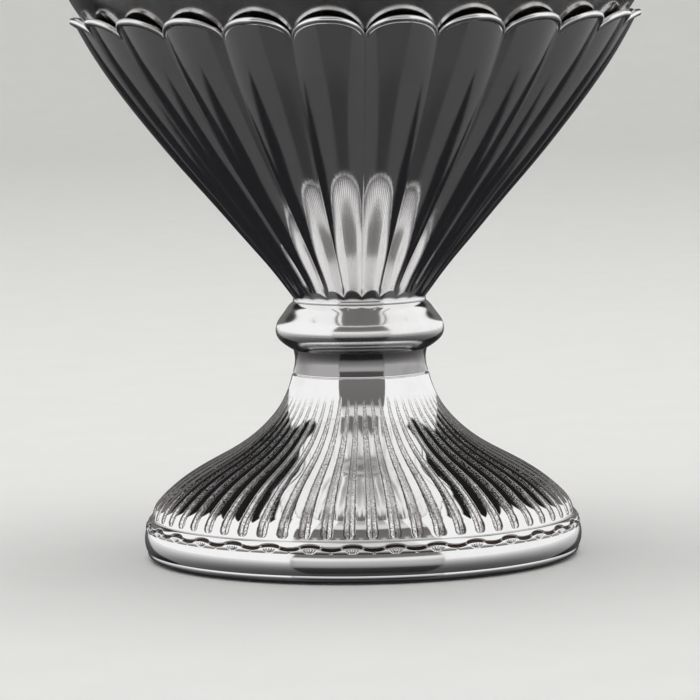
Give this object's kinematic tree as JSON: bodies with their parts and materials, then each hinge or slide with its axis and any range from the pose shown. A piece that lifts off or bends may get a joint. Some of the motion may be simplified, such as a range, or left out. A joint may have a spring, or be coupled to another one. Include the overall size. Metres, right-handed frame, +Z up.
{
  "type": "ciborium",
  "caption": "Covered ciborium: reeded bell foot, short neck with knop, lobed calyx with a scalloped edge round a plain flared cup, and a domed lift-off lid with a cross finial.",
  "frame": {"origin": "centre of the flat underside of the ring that the foot stands on", "axes": "+Z up along the vessel's axis of revolution, -Y the front, with the flat of the cross facing it, +X to the right"},
  "size_m": [0.1582, 0.1582, 0.2701],
  "materials": {
    "silver_polished": "silver plate on brass, mirror polished",
    "silver_satin": "silver plate on brass, soft satin outside, gilded inside",
    "gilt": "gilded, polished",
    "brass_plain": "turned, unplated",
    "steel_zinc": "zinc plated",
    "fibre_washer": "matt red fibre"
  },
  "bodies": {
    "vessel": {"base_ring": "silver_polished", "foot_flange": "silver_polished", "foot_border": "silver_polished", "foot_bell": "silver_polished", "crown_plate": "brass_plain", "neck_ring": "silver_polished", "neck_collar": "silver_polished", "knop_lower": "silver_polished", "knop_upper": "silver_polished", "knop_cap_ring": "silver_polished", "stem_sleeve": "brass_plain", "tie_rod": "steel_zinc", "clamp_washer": "steel_zinc", "spring_washer": "steel_zinc", "lock_nut": "steel_zinc", "calyx": "silver_polished", "petal_edge_wire": "silver_polished", "calyx_seat_plate": "brass_plain", "cup_gasket": "fibre_washer", "cup_boss": "brass_plain", "cup": "silver_satin", "cup_rim": "silver_polished"},
    "lid": {"lid_bezel": "gilt", "lid_flange": "silver_polished", "lid_dome": "silver_polished", "lid_border": "silver_polished", "finial_collar": "silver_polished", "finial_knop": "silver_polished", "cross_socket": "silver_polished", "finial_screw": "steel_zinc", "finial_washer": "steel_zinc", "finial_nut": "steel_zinc", "cross": "silver_polished", "cross_boss": "silver_polished"}
  },
  "joints": [
    {"name": "lid_lift", "type": "slide", "parent": "vessel", "child": "lid", "axis": [0, 0, 1], "range_m": [0, 0.12]}
  ]
}
